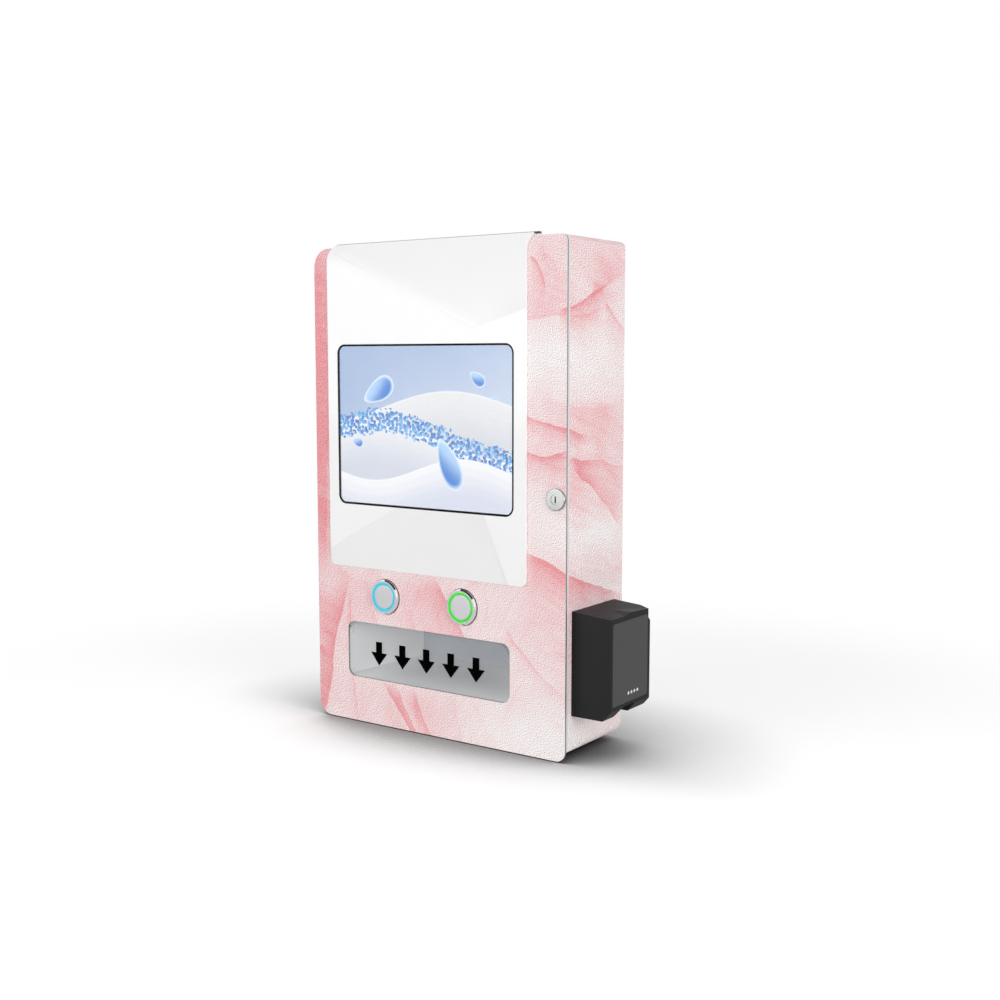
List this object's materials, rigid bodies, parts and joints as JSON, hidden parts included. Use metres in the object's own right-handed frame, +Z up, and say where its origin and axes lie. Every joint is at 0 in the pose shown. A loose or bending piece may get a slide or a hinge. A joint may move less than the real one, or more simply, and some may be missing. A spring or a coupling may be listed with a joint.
{
  "type": "sanitary napkin vending machine",
  "caption": "Slim wall or counter vending machine: hinged door with faceted cover and screen, lit push buttons, pick-up flap, cam lock, and a card reader on its side.",
  "frame": {"origin": "middle of the machine's base, on the surface that its feet stand on", "axes": "+X to the machine's right as seen from the front, +Y to its back, +Z up"},
  "size_m": [0.3434, 0.1062, 0.4792],
  "materials": {
    "printed_skin": "steel with a pink marbled printed film, fine crepe texture",
    "white_cover": "satin white powder coat",
    "galvanised_steel": "galvanised sheet",
    "hinge_steel": "bright rolled steel",
    "screw_steel": "zinc plated",
    "gearbox_steel": "turned steel",
    "motor_steel": "drawn steel can",
    "satin_steel": "satin turned",
    "chrome": "polished",
    "aluminium_case": "bead blasted",
    "brass": "machined",
    "grey_paint": "smooth pale grey paint",
    "black_rubber": "matte",
    "black_plastic": "moulded",
    "reader_plastic": "fine grained black moulding",
    "white_nylon": "machined nylon",
    "green_board": "solder resist",
    "display": "lit display face",
    "screen_glass": "clear cover glass",
    "cyan_light": "lit diffuser",
    "green_light": "lit diffuser",
    "clear_flap": "clear plastic with a printed sign"
  },
  "bodies": {
    "case": {"case_shell": "printed_skin", "rear_panel": "galvanised_steel", "rear_panel_screws": "screw_steel", "cable_grommet": "black_rubber", "feet": "black_rubber", "foot_screws": "screw_steel", "hinge_leaf_case": "hinge_steel", "hinge_pin": "hinge_steel", "door_seal": "black_rubber", "strike_plate": "galvanised_steel", "dispenser_shelf": "galvanised_steel", "column_left": "galvanised_steel", "column_right": "galvanised_steel", "column_rails": "galvanised_steel", "rack_guides": "white_nylon", "motor_bracket_left": "galvanised_steel", "motor_bracket_right": "galvanised_steel", "gearboxes": "gearbox_steel", "motors": "motor_steel", "pickup_bin": "grey_paint", "bin_stand": "galvanised_steel", "power_supply": "aluminium_case", "supply_terminals": "black_plastic", "control_board": "green_board", "control_board_posts": "brass", "control_board_parts": "black_plastic", "reader_plate": "galvanised_steel", "reader_housing": "reader_plastic", "reader_face": "reader_plastic", "reader_board": "green_board", "reader_screws": "screw_steel"},
    "door": {"door_panel": "printed_skin", "hinge_leaf_door": "hinge_steel", "front_cover": "white_cover", "screen_seal": "black_rubber", "screen_glass": "screen_glass", "screen_panel": "display", "screen_clips": "galvanised_steel", "screen_standoffs": "brass", "screen_board": "green_board", "screen_board_parts": "black_plastic", "button_bezels": "chrome", "button_nuts": "chrome", "contact_blocks": "black_plastic", "light_ring_left": "cyan_light", "light_ring_right": "green_light", "lock_barrel": "chrome", "lock_nut": "chrome", "flap_brackets": "galvanised_steel"},
    "lock": {"lock_core": "satin_steel", "lock_cam": "screw_steel", "lock_cam_screw": "screw_steel"},
    "flap": {"pickup_flap": "clear_flap"},
    "button_left": {"button_cap_left": "satin_steel"},
    "button_right": {"button_cap_right": "satin_steel"},
    "ejector_left": {"ejector_left": "white_nylon"},
    "ejector_right": {"ejector_right": "white_nylon"},
    "pinion_left": {"pinion_left": "brass"},
    "pinion_right": {"pinion_right": "brass"}
  },
  "joints": [
    {"name": "door_hinge", "type": "hinge", "parent": "case", "child": "door", "pos_m": [-0.16975, -0.0459, 0.2387], "axis": [0, 0, -1], "range_deg": [0, 180]},
    {"name": "lock_turn", "type": "hinge", "parent": "door", "child": "lock", "pos_m": [0.12105, -0.0499, 0.2419], "axis": [0, 1, 0], "range_deg": [0, 90]},
    {"name": "flap_lift", "type": "hinge", "parent": "door", "child": "flap", "pos_m": [-0.02925, -0.0463, 0.0967], "axis": [-1, 0, 0], "range_deg": [0, 80]},
    {"name": "button_left_press", "type": "slide", "parent": "door", "child": "button_left", "axis": [0, 1, 0], "range_m": [0, 0.002], "stiffness_N_per_m": 400, "springref_m": -0.002},
    {"name": "button_right_press", "type": "slide", "parent": "door", "child": "button_right", "axis": [0, 1, 0], "range_m": [0, 0.002], "stiffness_N_per_m": 400, "springref_m": -0.002},
    {"name": "ejector_left_push", "type": "slide", "parent": "case", "child": "ejector_left", "axis": [0, -1, 0], "range_m": [0, 0.036]},
    {"name": "pinion_left_spin", "type": "hinge", "parent": "case", "child": "pinion_left", "pos_m": [-0.13935, 0.0081, 0.1062], "axis": [0, 0, -1], "range_deg": [0, 207]},
    {"name": "ejector_right_push", "type": "slide", "parent": "case", "child": "ejector_right", "axis": [0, -1, 0], "range_m": [0, 0.036]},
    {"name": "pinion_right_spin", "type": "hinge", "parent": "case", "child": "pinion_right", "pos_m": [0.08085, 0.0081, 0.1062], "axis": [0, 0, 1], "range_deg": [0, 207]}
  ],
  "couplings": [
    {"joint": "pinion_left_spin", "follows": "ejector_left_push", "rad_per_m": 100},
    {"joint": "pinion_right_spin", "follows": "ejector_right_push", "rad_per_m": 100}
  ]
}
